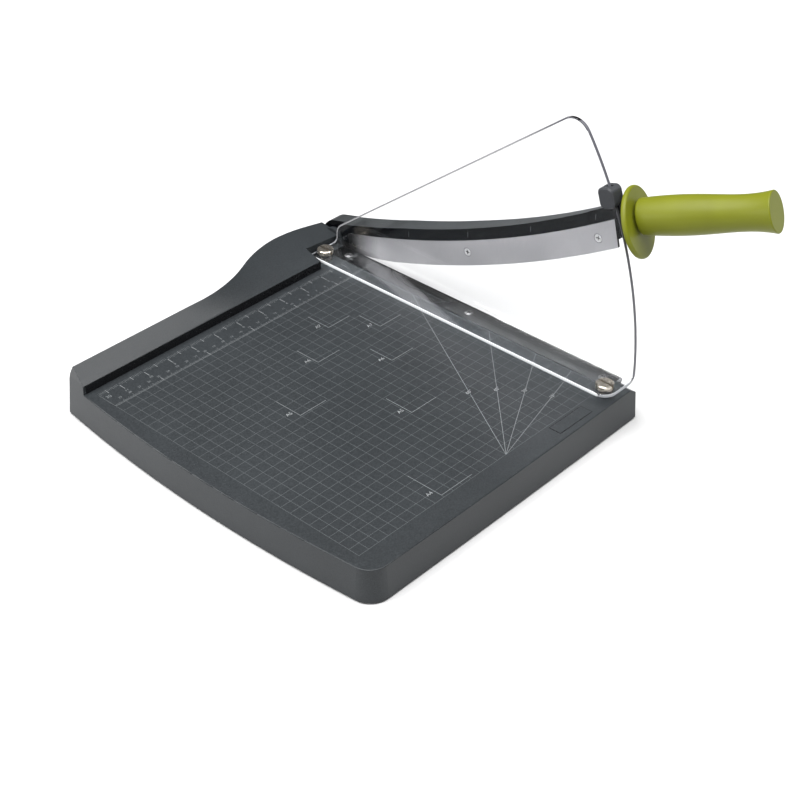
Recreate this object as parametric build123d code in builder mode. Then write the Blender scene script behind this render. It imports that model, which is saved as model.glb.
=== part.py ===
from build123d import *
from math import cos, radians, sin
import os

# Lever-arm paper guillotine for A4 sheets, arm raised.
# Every piece is drawn from the corner where the fence meets the cut line, at the platen's top face:
# x runs right (the platen is at negative x), y runs away from the user, z runs up.

# --- where that corner lies in the row frame ---
cut_x = 132.0
fence_y = 177.7
platen_z = 30.5

# --- base ---
wall_height = 29.0          # platen top down to the rim
skin = 3.0
side_draft = 3.5            # degrees, front and left walls lean out towards the rim
back_draft = 7.0            # the back wall leans more, and more again above the bend
bend_draft = 33.0
bend_z = 9.0
bend_radius_back = 22.0
block_rise = 30.0           # height of the leaning block that the rail is cut from
fence_height = 8.0
rail_back_y = 21.8
shoulder_back_y = 51.4
rail_ridge = (12.8, 20.9)   # y and z of the crisp ridge along the rail
shoulder_ridge = (42.0, 21.8)
shoulder_end_slope = 0.13   # the shoulder's top flattens towards the arm
swell_start_x = -172.0      # the back wall runs straight to here, then swells to the shoulder
swell_length = 122.0
wall_x = -0.6               # right wall, beside the blades
shoulder_x = 3.2            # right wall beside the arm's boss
corner_radius = 16.0
front_left = (-309.0, -321.5)
front_middle = (-150.0, -320.8)
front_right_y = -318.4
left_middle = (-317.7, -160.0)
back_left_x = -305.5
edge_radius = 0.8
notch_left_x = -41.0        # notch in the rail for the rear thumbscrew
notch_back_y = 18.6
rib_pitch = 41.0
rib_thickness = 2.0
rib_foot = -24.0
rib_first = (-48.0, -10.0)  # x of the first rib one way, y of the first the other way
rib_count_across = 7
rib_count_along = 8
fit_gap = 0.05              # radial gap of every fixed pin in its hole

# --- fixed blade ---
strip_width = 18.5
strip_thickness = 3.0
strip_back_y = 12.0
strip_front_y = -304.0
strip_screw_x = -9.3
strip_screw_ys = (-4.0, -148.0, -292.0)
screw_radius = 2.0
screw_head_radius = 3.8

# --- guard ---
guard_thickness = 3.0
guard_face_x = -1.2         # side of the upright plate that faces the arm
flange_under_z = 4.4
flange_left_x = -38.5
guard_back_y = 16.5
guard_rear_z = 21.3         # top of the short rear edge of the upright plate
guard_peak = (-249.0, 220.6)
guard_peak_radius = 16.0
guard_rear_radius = 14.0
flange_front_radius = 12.0
flange_back_radius = 4.0
guard_edge_radius = 0.7     # polished edge of the upright plate
bend_radius = 5.0
sweep_centre = (28.7, 13.7)
sweep_radius = 346.4        # curved front edge of the upright plate
thumbscrew_x = -27.0
thumbscrew_front_y = -306.7
thumbscrew_rear_y = 8.0
thumbscrew_radius = 7.5
thumbscrew_head = 4.6
insert_radius = 3.2
insert_depth = 8.0

# --- pivot ---
pivot_y = 25.0
pivot_z = 2.0
boss_radius = 18.0
bolt_radius = 4.0
bolt_thread_radius = 3.0
bush_radius = 6.5
pad_radius = 12.5
bracket_screw_spread = 14.0
bracket_screw_z = -16.0
bracket_screw_radius = 1.8
bracket_screw_depth = 2.0
bracket_foot_y = 6.0
bracket_foot_z = -24.0
nut_thickness = 5.0
flat_washer_thickness = 1.6
boss_left_x = 5.25
arm_right_x = 20.0

# --- arm and moving blade, bowed about one centre ---
bow_y = 259.3
bow_z = 1025.8
arm_top_bow = 1029.2
blade_top_bow = 1039.5
arm_under_bow = 1056.0
edge_bow = 1062.0
blade_face_x = 0.3
blade_thickness = 2.2
arm_left_x = blade_face_x + blade_thickness
lip_face_x = 0.8
lip_back_y = 14.0
arm_back_y = 30.0
arm_dip = ((-62.0, 48.0), (-15.6, 32.2), (30.0, 19.3))  # the top drops to the boss along this arc
arm_front_y = -294.5
taper_start_y = -134.0      # in plan the arm's right side narrows from here to the handle
arm_taper = ((14.0, -220.0), (10.6, -275.0), (10.0, -320.0))
blade_heel_y = 4.0
blade_tip_y = -291.6
blade_screws = ((-2.1, 7.0), (-138.5, 54.3), (-272.1, 118.8))
blade_sink_radius = 4.0
arm_heel_radius = 5.0
arm_nose_radius = 9.0
lug_radius = 8.0            # lug at the arm's tip, round the grip's tang
lug_length = 20.0

# --- handle ---
disc_centre = (10.0, -303.0, 140.6)  # centre of the hand guard's outer face
grip_root = (10.0, -303.0, 145.0)
disc_swing = 19.0           # degrees that the hand guard faces out from the arm's plane
disc_rise = 21.4            # and up; the grip's end is parallel to it
grip_swing = 16.9           # direction of the grip itself
grip_rise = 15.4
grip_sections = ((0.2, 14.2), (14, 15.3), (30, 15.8), (62, 14.8), (84, 14.1), (100, 15.4), (106, 16.5))
grip_bore_depth = 72.0
disc_radius = 28.6
disc_thickness = 4.4
disc_edge_radius = 1.85
grip_end_radius = 2.0
tang_radius = 4.5
tang_depth = 9.0            # into the arm

# --- guide block on the arm's tip ---
guide_tilt = 17.0
guide_centre = (-282.2, 160.0)
guide_width = 14.6
guide_height = 17.2
guide_corner_radius = 4.5
guide_left_x = -9.0
guide_right_x = 3.0
slit_left_x = -4.6
slit_right_x = -0.8
slit_reach = 350.9          # from the pivot to the closed end of the slit
guide_foot_height = 3.2
guide_screw_x = 6.6
guide_screw_y = -282.0
guide_screw_radius = 1.6
guide_screw_head_radius = 3.1

# --- feet ---
foot_radius = 8.0
foot_height = 3.5
foot_plug_radius = 2.5
foot_plug_height = 6.0
foot_centres = ((-285.0, -290.0), (-15.0, -268.0), (-285.0, 2.0), (-45.0, 33.0))


def level(height):
    """Plane parallel to the desk, height above the platen."""
    return Plane(origin=(cut_x, fence_y, platen_z + height))


def side(x):
    """Upright plane facing right, x from the cut line; its own axes are y and z."""
    return Plane(origin=(cut_x + x, fence_y, platen_z), x_dir=(0, 1, 0), z_dir=(1, 0, 0))


def side_left(x):
    """Upright plane facing left; its own axes are minus y and z."""
    return Plane(origin=(cut_x + x, fence_y, platen_z), x_dir=(0, -1, 0), z_dir=(-1, 0, 0))


def across(y):
    """Upright plane facing the user, y from the fence; its own axes are x and z."""
    return Plane(origin=(cut_x, fence_y + y, platen_z), x_dir=(1, 0, 0), z_dir=(0, -1, 0))


def bow_point(radius, y):
    """Point at y on the arc of the given radius about the bow centre."""
    return (y, bow_z - (radius**2 - (y - bow_y) ** 2) ** 0.5)


def bow_arc(radius, start_y, end_y):
    """Arc about the bow centre between two values of y."""
    middle = bow_point(radius, (start_y + end_y) / 2)
    return ThreePointArc(bow_point(radius, start_y), middle, bow_point(radius, end_y))


def screw(head_radius, dome, shank, length):
    """Cross-slot screw with a countersunk head, standing head up with its head's rim at z = 0."""
    cone = head_radius - shank
    with BuildPart() as body:
        with BuildSketch(Plane.XZ):
            with BuildLine():
                top = ThreePointArc((0, dome), (head_radius * 0.55, dome * 0.72), (head_radius, 0))
                Polyline(top @ 1, (shank, -cone), (shank, -length), (0, -length), top @ 0)
            make_face()
        revolve(axis=Axis.Z)
        with BuildSketch(Plane.XY.offset(dome + 1)):
            Rectangle(head_radius * 1.2, 0.9)
            Rectangle(0.9, head_radius * 1.2)
        extrude(amount=-2.1, mode=Mode.SUBTRACT)
    return body.part


def write(builder, name):
    """Label a finished piece and write its file."""
    builder.part.label = name
    export_step(builder.part, f"parts/{name}.step")


os.makedirs("parts", exist_ok=True)

# --- base shell -----------------------------------------------------------------------------------

swell_half = swell_length / 2
swell_rise = (shoulder_back_y - rail_back_y) / 2
crown_x = swell_start_x + swell_length
bracket_screw_places = (
    (pivot_y - bracket_screw_spread, bracket_screw_z),
    (pivot_y + bracket_screw_spread, bracket_screw_z),
)
outline_right_x = 12.0      # the outline runs past the right wall and is trimmed upright there
outline_right_back_y = 45.0
beyond = 60.0               # cuts that run off the part go this far


def base_outline(grow):
    """Outline of the base at platen level, every side moved outwards by grow."""
    back_y = rail_back_y + grow
    with BuildSketch() as outline:
        with BuildLine():
            front = ThreePointArc(
                (outline_right_x, front_right_y - grow),
                (front_middle[0], front_middle[1] - grow),
                (front_left[0] - grow, front_left[1] - grow),
            )
            left = ThreePointArc(
                front @ 1, (left_middle[0] - grow, left_middle[1]), (back_left_x - grow, back_y)
            )
            straight = Line(left @ 1, (swell_start_x, back_y))
            middle = (swell_start_x + swell_half, back_y + swell_rise)
            rise = TangentArc(straight @ 1, middle, tangent=(1, 0))
            crown = TangentArc(rise @ 1, (crown_x, shoulder_back_y + grow), tangent=rise % 1)
            shoulder_end = (outline_right_x, outline_right_back_y + grow)
            fall = TangentArc(crown @ 1, shoulder_end, tangent=(1, 0))
            Line(fall @ 1, front @ 0)
        make_face()
        fillet(outline.vertices().sort_by_distance(front_left)[0], corner_radius + grow)
    return outline.sketch


def rail_slope(x):
    """Rise of the rail's top for each millimetre back from the fence."""
    share = min(max((x - swell_start_x) / swell_length, 0), 1)
    share = share * share * (3 - 2 * share)
    ridge_y = rail_ridge[0] + (shoulder_ridge[0] - rail_ridge[0]) * share
    ridge_z = rail_ridge[1] + (shoulder_ridge[1] - rail_ridge[1]) * share
    slope = (ridge_z - fence_height) / ridge_y
    past_crown = min(max((x - crown_x) / -crown_x, 0), 1)
    return slope + (shoulder_end_slope - slope) * past_crown


def above_rail(inset):
    """Everything above the rail's sloping top, lowered by inset."""
    left_x = -330
    right_x = 30
    roof = 90
    foot = fence_height - inset
    steps = 12
    stations = [left_x + (right_x - left_x) * step / steps for step in range(steps + 1)]
    with BuildPart() as wedge:
        with BuildSketch(across(0)):
            with BuildLine():
                low = Line((left_x, foot), (right_x, foot))
                Polyline(low @ 1, (right_x, roof), (left_x, roof), low @ 0)
            make_face()
        with BuildSketch(across(beyond)):
            with BuildLine():
                low = Spline(*[(x, foot + beyond * rail_slope(x)) for x in stations])
                Polyline(low @ 1, (right_x, roof), (left_x, roof), low @ 0)
            make_face()
        loft(ruled=True)
    return wedge.part


def upright(face):
    return abs(face.normal_at().Z) < 0.9


def faces_back(face):
    return face.normal_at().Y > 0.4


def above_bend(face):
    return upright(face) and face.center().Z > platen_z + bend_z


def base_volume(inset):
    """Solid inside the base's outer skin, every face moved inwards by inset."""
    with BuildPart() as volume:
        with BuildSketch(level(-wall_height)):
            add(base_outline(-inset))
        extrude(amount=wall_height + bend_z)
        walls = volume.faces().filter_by(upright)
        draft(walls.filter_by(faces_back), level(0), back_draft)
        walls = volume.faces().filter_by(upright)
        draft(walls.filter_by(lambda wall: not faces_back(wall)), level(0), side_draft)
        extrude(volume.faces().sort_by(Axis.Z)[-1], amount=block_rise - bend_z)
        walls = volume.faces().filter_by(above_bend)
        draft(walls.filter_by(faces_back), level(bend_z), bend_draft)
        # platen
        with BuildSketch(level(-inset)):
            with Locations((beyond, inset)):
                Rectangle(500, 400, align=(Align.MAX, Align.MAX))
        extrude(amount=beyond, mode=Mode.SUBTRACT)
        # notch for the rear thumbscrew
        with BuildSketch(level(-inset)):
            with Locations((notch_left_x - inset, notch_back_y + inset / 2)):
                Rectangle(80, beyond, align=(Align.MIN, Align.MAX))
        extrude(amount=beyond, mode=Mode.SUBTRACT)
        add(above_rail(inset), mode=Mode.SUBTRACT)
        # right wall, stepping out beside the arm's boss
        with BuildSketch(level(-wall_height)):
            with BuildLine():
                Polyline(
                    (wall_x - inset, -400),
                    (wall_x - inset, notch_back_y),
                    (shoulder_x - inset, notch_back_y + 7),
                    (shoulder_x - inset, 100),
                    (beyond, 100),
                    (beyond, -400),
                    close=True,
                )
            make_face()
        extrude(amount=wall_height + beyond, mode=Mode.SUBTRACT)
    return volume.part


with BuildPart() as cavity:
    add(base_volume(skin))
    # seat skin under the fixed blade
    with BuildSketch(level(-strip_thickness - skin)):
        with Locations((-strip_width - skin, strip_back_y + skin)):
            Rectangle(40, strip_back_y - strip_front_y + 2 * skin, align=(Align.MIN, Align.MAX))
    extrude(amount=40, mode=Mode.SUBTRACT)
    # flat inner wall for the pivot bracket
    with BuildSketch(level(-wall_height)):
        with Locations((wall_x - skin, bracket_foot_y - 1)):
            Rectangle(40, beyond, align=(Align.MIN, Align.MIN))
    extrude(amount=beyond, mode=Mode.SUBTRACT)
    # ribs
    with BuildSketch(level(rib_foot)):
        for step in range(rib_count_across):
            with Locations((rib_first[0] - step * rib_pitch, -150)):
                Rectangle(rib_thickness, 400)
        for step in range(rib_count_along):
            with Locations((-150, rib_first[1] - step * rib_pitch)):
                Rectangle(400, rib_thickness)
        with Locations((thumbscrew_x, thumbscrew_front_y), (thumbscrew_x, thumbscrew_rear_y)):
            Circle(insert_radius + skin)
    extrude(amount=beyond, mode=Mode.SUBTRACT)
    # foot bosses
    with BuildSketch(level(foot_height - platen_z)):
        with Locations(*foot_centres):
            Circle(foot_radius + 1.5)
    extrude(amount=beyond, mode=Mode.SUBTRACT)

with BuildPart() as base_shell:
    add(base_volume(0))
    # bend of the back wall
    bend = base_shell.edges().filter_by(
        lambda edge: edge.length > 25
        and abs(edge.center().Z - platen_z - bend_z) < 0.5
        and edge.center().Y > fence_y + notch_back_y
    )
    fillet(bend, bend_radius_back)
    # eased rim of the platen, on the left and at the front
    rim = base_shell.edges().filter_by(
        lambda edge: edge.length > 8
        and abs(edge.center().Z - platen_z) < 0.1
        and (edge.center().X < cut_x - 290 or edge.center().Y < fence_y - 310)
    )
    fillet(rim, edge_radius)
    add(cavity.part, mode=Mode.SUBTRACT)
    # bearing pad for the pivot
    with BuildSketch(side(wall_x)):
        with Locations((pivot_y, pivot_z)):
            Circle(pad_radius)
    extrude(amount=shoulder_x - wall_x)
    # seat of the fixed blade, open to the right
    with BuildSketch(level(-strip_thickness)):
        with Locations((-strip_width, strip_back_y)):
            Rectangle(40, strip_back_y - strip_front_y, align=(Align.MIN, Align.MAX))
    extrude(amount=strip_thickness + 1, mode=Mode.SUBTRACT)
    # sloping corner ahead of the fixed blade
    with BuildSketch(across(strip_front_y)):
        with BuildLine():
            Polyline((-7.7, 0), (1, -6), (1, 2), (-7.7, 2), close=True)
        make_face()
    extrude(amount=30, mode=Mode.SUBTRACT)
    # screw holes of the fixed blade
    with BuildSketch(level(0)):
        with Locations(*[(strip_screw_x, y) for y in strip_screw_ys]):
            Circle(screw_radius + fit_gap)
    extrude(amount=-12, mode=Mode.SUBTRACT)
    # holes of the threaded inserts
    with BuildSketch(level(0)):
        with Locations((thumbscrew_x, thumbscrew_front_y), (thumbscrew_x, thumbscrew_rear_y)):
            Circle(insert_radius + fit_gap)
    extrude(amount=-insert_depth - 2, mode=Mode.SUBTRACT)
    # foot plug holes
    with BuildSketch(level(foot_height - platen_z)):
        with Locations(*foot_centres):
            Circle(foot_plug_radius + fit_gap)
    extrude(amount=foot_plug_height + 1, mode=Mode.SUBTRACT)
    # pivot bolt and bracket screws
    with BuildSketch(side(-20)):
        with Locations((pivot_y, pivot_z)):
            Circle(bolt_thread_radius + fit_gap)
    extrude(amount=60, mode=Mode.SUBTRACT)
    with BuildSketch(side(wall_x - skin)):
        with Locations(*bracket_screw_places):
            Circle(bracket_screw_radius + fit_gap)
    extrude(amount=bracket_screw_depth + 0.2, mode=Mode.SUBTRACT)

write(base_shell, "base_shell")

# --- fixed blade ----------------------------------------------------------------------------------

strip_length = strip_back_y - strip_front_y - 0.4

with BuildPart() as lower_blade:
    with BuildSketch(level(-strip_thickness)):
        with Locations((0, strip_back_y - 0.2)):
            Rectangle(strip_width - 0.2, strip_length, align=(Align.MAX, Align.MAX))
    extrude(amount=strip_thickness)
    with Locations(level(0)):
        with Locations(*[(strip_screw_x, y) for y in strip_screw_ys]):
            CounterSinkHole(screw_radius + fit_gap, screw_head_radius + fit_gap, 20, 90)

write(lower_blade, "lower_blade")

strip_screw = screw(screw_head_radius, 1.0, screw_radius, 11.0)

with BuildPart() as lower_blade_screws:
    with Locations(level(0)):
        with Locations(*[(strip_screw_x, y) for y in strip_screw_ys]):
            add(strip_screw)

write(lower_blade_screws, "lower_blade_screws")

with BuildPart() as lower_blade_nuts:
    with BuildSketch(level(-strip_thickness - skin - 3.2)):
        with Locations(*[(strip_screw_x, y) for y in strip_screw_ys]):
            RegularPolygon(4.0, 6)
            Circle(screw_radius + fit_gap, mode=Mode.SUBTRACT)
    extrude(amount=3.2)

write(lower_blade_nuts, "lower_blade_nuts")

# --- guard ----------------------------------------------------------------------------------------

flange_top_z = flange_under_z + guard_thickness
plate_left_x = guard_face_x - guard_thickness
plate_roof = 225.0

with BuildPart() as blade_guard:
    with BuildSketch(across(guard_back_y)) as angle:
        with BuildLine():
            Polyline(
                (guard_face_x, plate_roof),
                (guard_face_x, flange_under_z),
                (flange_left_x, flange_under_z),
                (flange_left_x, flange_top_z),
                (plate_left_x, flange_top_z),
                (plate_left_x, plate_roof),
                close=True,
            )
        make_face()
        inner_corner = angle.vertices().sort_by_distance((plate_left_x, flange_top_z))[0]
        fillet(inner_corner, bend_radius)
        outer_corner = angle.vertices().sort_by_distance((guard_face_x, flange_under_z))[0]
        fillet(outer_corner, bend_radius + guard_thickness)
    extrude(amount=340)
    # side outline: short rear edge, long straight slope, curved front edge
    sweep_y, sweep_z = sweep_centre
    foot_y = sweep_y - (sweep_radius**2 - (sweep_z - flange_under_z) ** 2) ** 0.5
    middle_y = sweep_y - sweep_radius * cos(radians(18))
    middle_z = sweep_z + sweep_radius * sin(radians(18))
    with BuildSketch(side(-60)) as fan:
        with BuildLine():
            slope = Polyline((guard_back_y, flange_under_z), (guard_back_y, guard_rear_z), guard_peak)
            rim = ThreePointArc(slope @ 1, (middle_y, middle_z), (foot_y, flange_under_z))
            Line(rim @ 1, slope @ 0)
        make_face()
        fillet(fan.vertices().sort_by_distance(guard_peak)[0], guard_peak_radius)
        fillet(fan.vertices().sort_by_distance((guard_back_y, guard_rear_z))[0], guard_rear_radius)
    extrude(amount=80, mode=Mode.INTERSECT)
    # flange corners and screw holes
    with BuildSketch(level(0)) as plan:
        with Locations((flange_left_x, guard_back_y)):
            Rectangle(60, guard_back_y - foot_y, align=(Align.MIN, Align.MAX))
        fillet(plan.vertices().sort_by_distance((flange_left_x, foot_y))[0], flange_front_radius)
        fillet(plan.vertices().sort_by_distance((flange_left_x, guard_back_y))[0], flange_back_radius)
    extrude(amount=plate_roof, mode=Mode.INTERSECT)
    # polished edge of the upright plate
    outline_edges = blade_guard.edges().filter_by(
        lambda edge: edge.center().X > cut_x + plate_left_x - 0.01
        and edge.center().Z > platen_z + guard_rear_z - guard_rear_radius / 2
        and abs(edge.tangent_at(0.5).X) < 0.1
    )
    fillet(outline_edges, guard_edge_radius)
    with BuildSketch(level(0)):
        with Locations((thumbscrew_x, thumbscrew_front_y), (thumbscrew_x, thumbscrew_rear_y)):
            Circle(2.3)
    extrude(amount=12, mode=Mode.SUBTRACT)

write(blade_guard, "blade_guard")

for name, screw_y in (("front", thumbscrew_front_y), ("rear", thumbscrew_rear_y)):
    with BuildPart() as thumbscrew:
        with BuildSketch(level(flange_top_z + fit_gap)):
            with Locations((thumbscrew_x, screw_y)):
                Circle(thumbscrew_radius)
        extrude(amount=thumbscrew_head)
        chamfer(thumbscrew.edges().group_by(Axis.Z)[-1], 0.7)
        chamfer(thumbscrew.edges().group_by(Axis.Z)[0], 0.4)
        with BuildSketch(level(flange_top_z + thumbscrew_head)):
            with Locations((thumbscrew_x, screw_y)):
                Rectangle(1.6, 3 * thumbscrew_radius)
        extrude(amount=4, both=True, mode=Mode.SUBTRACT)
        with BuildSketch(level(flange_top_z + fit_gap)):
            with Locations((thumbscrew_x, screw_y)):
                Circle(screw_radius)
        extrude(amount=-flange_top_z - insert_depth + 0.5)
    write(thumbscrew, f"guard_thumbscrew_{name}")

with BuildPart() as guard_spacers:
    with BuildSketch(level(0)):
        with Locations((thumbscrew_x, thumbscrew_front_y), (thumbscrew_x, thumbscrew_rear_y)):
            Circle(5.5)
            Circle(screw_radius + fit_gap, mode=Mode.SUBTRACT)
    extrude(amount=flange_under_z)

write(guard_spacers, "guard_spacers")

with BuildPart() as guard_inserts:
    with BuildSketch(level(-insert_depth)):
        with Locations((thumbscrew_x, thumbscrew_front_y), (thumbscrew_x, thumbscrew_rear_y)):
            Circle(insert_radius)
            Circle(screw_radius + fit_gap, mode=Mode.SUBTRACT)
    extrude(amount=insert_depth)

write(guard_inserts, "guard_inserts")

# --- arm ------------------------------------------------------------------------------------------


def direction(swing, rise):
    """Direction swung out from the arm's plane and raised, both in degrees."""
    level_part = cos(radians(rise))
    return Vector(
        sin(radians(swing)) * level_part, -cos(radians(swing)) * level_part, sin(radians(rise))
    )


disc_axis = direction(disc_swing, disc_rise)
grip_axis = direction(grip_swing, grip_rise)
corner = Vector(cut_x, fence_y, platen_z)


def disc_plane(reach):
    """Plane of the hand guard, reach out from its outer face."""
    return Plane(origin=corner + Vector(*disc_centre), z_dir=disc_axis).offset(reach)


def grip_square(reach):
    """Plane square to the grip's axis, reach out from its root."""
    return Plane(origin=corner + Vector(*grip_root) + grip_axis * reach, z_dir=grip_axis)


def grip_slice(reach):
    """Plane through the same point, but parallel to the hand guard."""
    return Plane(origin=corner + Vector(*grip_root) + grip_axis * reach, z_dir=disc_axis)


def bow_band(inner, outer, back_y, front_y):
    """Closed outline between two arcs about the bow centre, cut off upright at both ends."""
    near = bow_arc(inner, back_y, front_y)
    far = bow_arc(outer, front_y, back_y)
    Line(near @ 1, far @ 0)
    Line(far @ 1, near @ 0)


def bow_plane(radius, x, y):
    """Plane touching an arc about the bow centre, facing away from the arm."""
    z = bow_point(radius, y)[1]
    outwards = (0, bow_y - y, bow_z - z)
    return Plane(origin=(cut_x + x, fence_y + y, platen_z + z), x_dir=(1, 0, 0), z_dir=outwards)


guide_screw_plane = bow_plane(arm_top_bow - guide_foot_height, guide_screw_x, guide_screw_y)

with BuildPart() as arm:
    # body, narrowing towards the handle
    with BuildSketch(side(arm_left_x)) as band:
        with BuildLine():
            bow_band(arm_top_bow, arm_under_bow, arm_back_y, arm_front_y)
        make_face()
        front_ends = band.vertices().group_by(Axis.X)[0].sort_by(Axis.Y)
        fillet(front_ends[-1], arm_heel_radius)
        nose = band.vertices().sort_by_distance(bow_point(arm_under_bow, arm_front_y))[0]
        fillet(nose, arm_nose_radius)
    extrude(amount=arm_right_x - arm_left_x)
    with BuildSketch(level(-60)):
        with BuildLine():
            straight = Polyline((0, -320), (0, beyond), (arm_right_x, beyond), (arm_right_x, taper_start_y))
            taper = Spline(straight @ 1, *arm_taper)
            Line(taper @ 1, straight @ 0)
        make_face()
    extrude(amount=300, mode=Mode.INTERSECT)
    # room for the bearing pad and the shoulder of the base
    with BuildSketch(side(0)):
        with Locations((pivot_y, pivot_z)):
            Circle(pad_radius + 1)
        with Locations((lip_back_y, 0)):
            Rectangle(60, 80, align=(Align.MIN, Align.CENTER))
    extrude(amount=boss_left_x, mode=Mode.SUBTRACT)
    # boss round the pivot
    with BuildSketch(side(boss_left_x)):
        with Locations((pivot_y, pivot_z)):
            Circle(boss_radius)
    extrude(amount=arm_right_x - boss_left_x)
    # lip over the moving blade
    with BuildSketch(side(lip_face_x)):
        with BuildLine():
            bow_band(arm_top_bow, blade_top_bow - 0.1, lip_back_y, -290)
        make_face()
    extrude(amount=arm_left_x - lip_face_x)
    # the top drops to the boss
    with BuildSketch(side(0)):
        with BuildLine():
            dip = ThreePointArc(*arm_dip)
            Polyline(dip @ 1, (arm_back_y, 80), (arm_dip[0][0], 80), dip @ 0)
        make_face()
    extrude(amount=arm_right_x, mode=Mode.SUBTRACT)
    # lug that the grip's tang is screwed into
    with BuildSketch(grip_square(0)):
        Circle(lug_radius)
    extrude(amount=-lug_length)
    with BuildSketch(side(arm_left_x)):
        with Locations((-290, 136)):
            Rectangle(60, 30)
    extrude(amount=-20, mode=Mode.SUBTRACT)
    # holes: bush, blade screws, grip stud, guide block screw
    with BuildSketch(side(0)):
        with Locations((pivot_y, pivot_z)):
            Circle(bush_radius + fit_gap)
    extrude(amount=40, mode=Mode.SUBTRACT)
    with BuildSketch(side(0)):
        with Locations(*blade_screws):
            Circle(screw_radius + fit_gap)
    extrude(amount=8.5, mode=Mode.SUBTRACT)
    with BuildSketch(grip_square(0)):
        Circle(tang_radius + fit_gap)
    extrude(amount=-tang_depth - disc_thickness - 1, mode=Mode.SUBTRACT)
    with Locations(guide_screw_plane):
        Hole(guide_screw_radius + fit_gap, depth=12)
    # nothing reaches past the hand guard's back
    with BuildSketch(disc_plane(-disc_thickness)):
        Circle(60)
    extrude(amount=30, mode=Mode.SUBTRACT)

write(arm, "arm")

with BuildPart() as upper_blade:
    with BuildSketch(side(blade_face_x)):
        with BuildLine():
            near = bow_arc(blade_top_bow, blade_heel_y, blade_tip_y + 5.4)
            far = bow_arc(edge_bow, blade_tip_y, blade_heel_y)
            Line(near @ 1, far @ 0)
            Line(far @ 1, near @ 0)
        make_face()
    extrude(amount=blade_thickness)
    with Locations(side_left(blade_face_x)):
        with Locations(*[(-y, z) for y, z in blade_screws]):
            CounterSinkHole(screw_radius + fit_gap, blade_sink_radius, 20, 90)

write(upper_blade, "upper_blade")

blade_screw = screw(3.6, 0.01, screw_radius, 7.0)

with BuildPart() as upper_blade_screws:
    with Locations(side_left(blade_face_x + 0.05)):
        with Locations(*[(-y, z) for y, z in blade_screws]):
            add(blade_screw)

write(upper_blade_screws, "upper_blade_screws")

# --- guide block ----------------------------------------------------------------------------------

guide_y, guide_z = guide_centre

with BuildPart() as guard_guide:
    with BuildSketch(side(guide_left_x)) as block:
        with Locations(Location((guide_y, guide_z), -guide_tilt)):
            RectangleRounded(guide_width, guide_height, guide_corner_radius)
    extrude(amount=guide_right_x - guide_left_x)
    chamfer(guard_guide.edges().group_by(Axis.X)[0], 1.2)
    with BuildSketch(side(lip_face_x)):
        with BuildLine():
            bow_band(arm_top_bow - guide_foot_height, arm_top_bow, -275.5, -288.5)
        make_face()
    extrude(amount=10 - lip_face_x)
    # the block sits on the arm's bowed top
    with BuildSketch(side(lip_face_x - 0.5)):
        with BuildLine():
            bow_band(arm_top_bow, arm_top_bow + 20, -260, -305)
        make_face()
    extrude(amount=20, mode=Mode.SUBTRACT)
    # slit for the guard, closed towards the user
    with BuildSketch(side(slit_left_x)):
        with Locations((pivot_y, pivot_z)):
            Circle(slit_reach)
    extrude(amount=slit_right_x - slit_left_x, mode=Mode.SUBTRACT)
    with Locations(guide_screw_plane):
        CounterSinkHole(guide_screw_radius + fit_gap, guide_screw_head_radius + fit_gap, 12, 90)

write(guard_guide, "guard_guide")

guide_screw_body = screw(guide_screw_head_radius, 0.8, guide_screw_radius, 10.0)

with BuildPart() as guide_screw:
    with Locations(guide_screw_plane):
        add(guide_screw_body)

write(guide_screw, "guide_screw")

# --- handle ---------------------------------------------------------------------------------------

with BuildPart() as hand_guard:
    with BuildSketch(disc_plane(-disc_thickness)):
        Circle(disc_radius)
    extrude(amount=disc_thickness)
    fillet(hand_guard.edges().filter_by(GeomType.CIRCLE), disc_edge_radius)
    with BuildSketch(grip_square(-20)):
        Circle(tang_radius + fit_gap)
    extrude(amount=40, mode=Mode.SUBTRACT)

write(hand_guard, "hand_guard")

with BuildPart() as handle_grip:
    for reach, radius in grip_sections:
        with BuildSketch(grip_slice(reach)):
            Circle(radius)
    loft()
    fillet(handle_grip.faces().sort_by(Axis.Y)[-1].edges(), grip_end_radius)
    fillet(handle_grip.faces().sort_by(Axis.Y)[0].edges(), edge_radius)
    with BuildSketch(grip_square(-10)):
        Circle(tang_radius + fit_gap)
    extrude(amount=10 + grip_bore_depth, mode=Mode.SUBTRACT)

write(handle_grip, "handle_grip")

with BuildPart() as handle_tang:
    with BuildSketch(grip_square(-tang_depth - disc_thickness)):
        Circle(tang_radius)
    extrude(amount=tang_depth + disc_thickness + grip_bore_depth - 1)

write(handle_tang, "handle_tang")

# --- pivot ----------------------------------------------------------------------------------------

bracket_thickness = 5.0
bracket_right_x = wall_x - skin
bracket_left_x = bracket_right_x - bracket_thickness
washer_x = arm_right_x + 0.1
hex_radius = 7.5


def pivot_plane(x):
    """Plane square to the pivot, facing right, centred on it."""
    return Plane(
        origin=(cut_x + x, fence_y + pivot_y, platen_z + pivot_z), x_dir=(0, 1, 0), z_dir=(1, 0, 0)
    )


with BuildPart() as pivot_bracket:
    with BuildSketch(side(bracket_left_x)):
        with Locations((20.4, bracket_foot_z)):
            Rectangle(21.6, 31.5, align=(Align.MIN, Align.MIN))
        with Locations((bracket_foot_y, bracket_foot_z)):
            Rectangle(36.8, 17, align=(Align.MIN, Align.MIN))
        with Locations((pivot_y, pivot_z)):
            Circle(bolt_thread_radius + fit_gap, mode=Mode.SUBTRACT)
        with Locations(*bracket_screw_places):
            Circle(bracket_screw_radius + fit_gap, mode=Mode.SUBTRACT)
    extrude(amount=bracket_thickness)

write(pivot_bracket, "pivot_bracket")

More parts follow.
